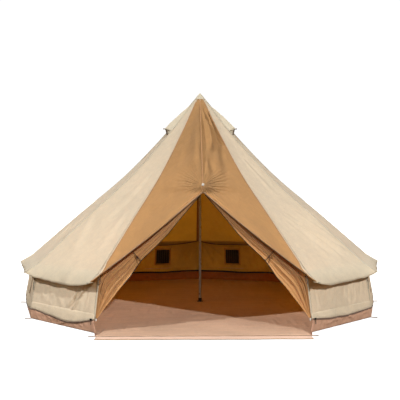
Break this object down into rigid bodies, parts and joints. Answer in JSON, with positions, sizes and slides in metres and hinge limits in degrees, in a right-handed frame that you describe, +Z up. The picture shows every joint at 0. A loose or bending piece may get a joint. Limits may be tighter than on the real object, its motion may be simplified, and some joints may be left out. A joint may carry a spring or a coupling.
{
  "type": "bell tent",
  "caption": "Round canvas bell tent on a centre pole, with an A-frame doorway, tied-back door flaps, mesh windows with roll-up covers and a zipped-in groundsheet.",
  "frame": {"origin": "on the ground at the foot of the centre pole", "axes": "+Z up, the doorway faces -Y, +X to the right seen from the front"},
  "size_m": [5.2658, 5.1759, 3.008],
  "materials": {
    "canvas_cream": "matt, plain weave cotton",
    "canvas_tan": "matt, plain weave cotton",
    "webbing_tan": "matt, ribbed webbing",
    "binding_brown": "matt, narrow tape",
    "groundsheet": "slightly shiny coated weave",
    "mesh_black": "fine insect mesh",
    "zip_tape": "matt, woven tape",
    "zip_coil": "satin",
    "zip_slider": "satin black",
    "tube_steel": "galvanised, satin",
    "black_plastic": "matt",
    "white_plastic": "satin",
    "brown_leather": "matt",
    "eyelet_metal": "satin"
  },
  "bodies": {
    "tent": {"a_frame_feet": "black_plastic", "a_frame_lower_left": "tube_steel", "a_frame_lower_right": "tube_steel", "a_frame_peak_joint": "tube_steel", "a_frame_upper_left": "tube_steel", "a_frame_upper_right": "tube_steel", "apex_cap": "canvas_cream", "centre_pole_finial": "tube_steel", "centre_pole_foot": "black_plastic", "centre_pole_lower": "tube_steel", "centre_pole_middle": "tube_steel", "centre_pole_upper": "tube_steel", "door_corner_toggles": "white_plastic", "door_gore_left": "canvas_tan", "door_gore_right": "canvas_tan", "door_side_left": "canvas_tan", "door_side_right": "canvas_tan", "door_ties": "webbing_tan", "eave_eyelets": "eyelet_metal", "eave_tabs": "webbing_tan", "groundsheet_floor": "groundsheet", "groundsheet_sides": "groundsheet", "peak_cap": "white_plastic", "peg_eyelets": "eyelet_metal", "peg_tabs": "webbing_tan", "ridge_eyelet": "eyelet_metal", "roof_gores": "canvas_cream", "vent_gores": "canvas_cream", "vent_hoods": "canvas_cream", "vent_meshes": "mesh_black", "vent_stay_tips": "brown_leather", "wall_panels": "canvas_cream", "wall_zip_coils": "zip_coil", "wall_zip_tapes": "zip_tape", "window_bindings": "webbing_tan", "window_meshes": "mesh_black", "window_wall_panels": "canvas_cream"},
    "left_door": {"door_flap_left": "canvas_tan"},
    "right_door": {"door_flap_right": "canvas_tan"},
    "front_lip": {"groundsheet_front_lip": "groundsheet"},
    "left_window_cover": {"window_cover_left": "canvas_cream"},
    "right_window_cover": {"window_cover_right": "canvas_cream"},
    "rear_left_window_cover": {"window_cover_rear_left": "canvas_cream"},
    "rear_right_window_cover": {"window_cover_rear_right": "canvas_cream"},
    "left_zip_slider": {"zip_slider_left": "zip_slider"},
    "right_zip_slider": {"zip_slider_right": "zip_slider"}
  },
  "joints": [
    {"name": "left_door_swing", "type": "hinge", "parent": "tent", "child": "left_door", "pos_m": [0, -1.9, 1.6], "axis": [0, -0.9857, 0.1685], "range_deg": [0, 42]},
    {"name": "right_door_swing", "type": "hinge", "parent": "tent", "child": "right_door", "pos_m": [0, -1.9, 1.6], "axis": [0, 0.9857, -0.1685], "range_deg": [0, 42]},
    {"name": "front_lip_raise", "type": "hinge", "parent": "tent", "child": "front_lip", "pos_m": [0, -2.371, 0.003], "axis": [-1, 0, 0], "range_deg": [0, 90]},
    {"name": "right_window_cover_lift", "type": "hinge", "parent": "tent", "child": "right_window_cover", "pos_m": [2.258, -0.60503, 0.59], "axis": [-0.2588, -0.9659, 0], "range_deg": [0, 60]},
    {"name": "rear_right_window_cover_lift", "type": "hinge", "parent": "tent", "child": "rear_right_window_cover", "pos_m": [0.60503, 2.258, 0.59], "axis": [0.9659, -0.2588, 0], "range_deg": [0, 60]},
    {"name": "rear_left_window_cover_lift", "type": "hinge", "parent": "tent", "child": "rear_left_window_cover", "pos_m": [-0.60503, 2.258, 0.59], "axis": [0.9659, 0.2588, 0], "range_deg": [0, 60]},
    {"name": "left_window_cover_lift", "type": "hinge", "parent": "tent", "child": "left_window_cover", "pos_m": [-2.258, -0.60503, 0.59], "axis": [-0.2588, 0.9659, 0], "range_deg": [0, 60]},
    {"name": "left_zip_slide", "type": "slide", "parent": "tent", "child": "left_zip_slider", "axis": [-0.7071, 0.7071, 0], "range_m": [0, 1.2]},
    {"name": "right_zip_slide", "type": "slide", "parent": "tent", "child": "right_zip_slider", "axis": [0.7071, 0.7071, 0], "range_m": [0, 1.2]}
  ]
}
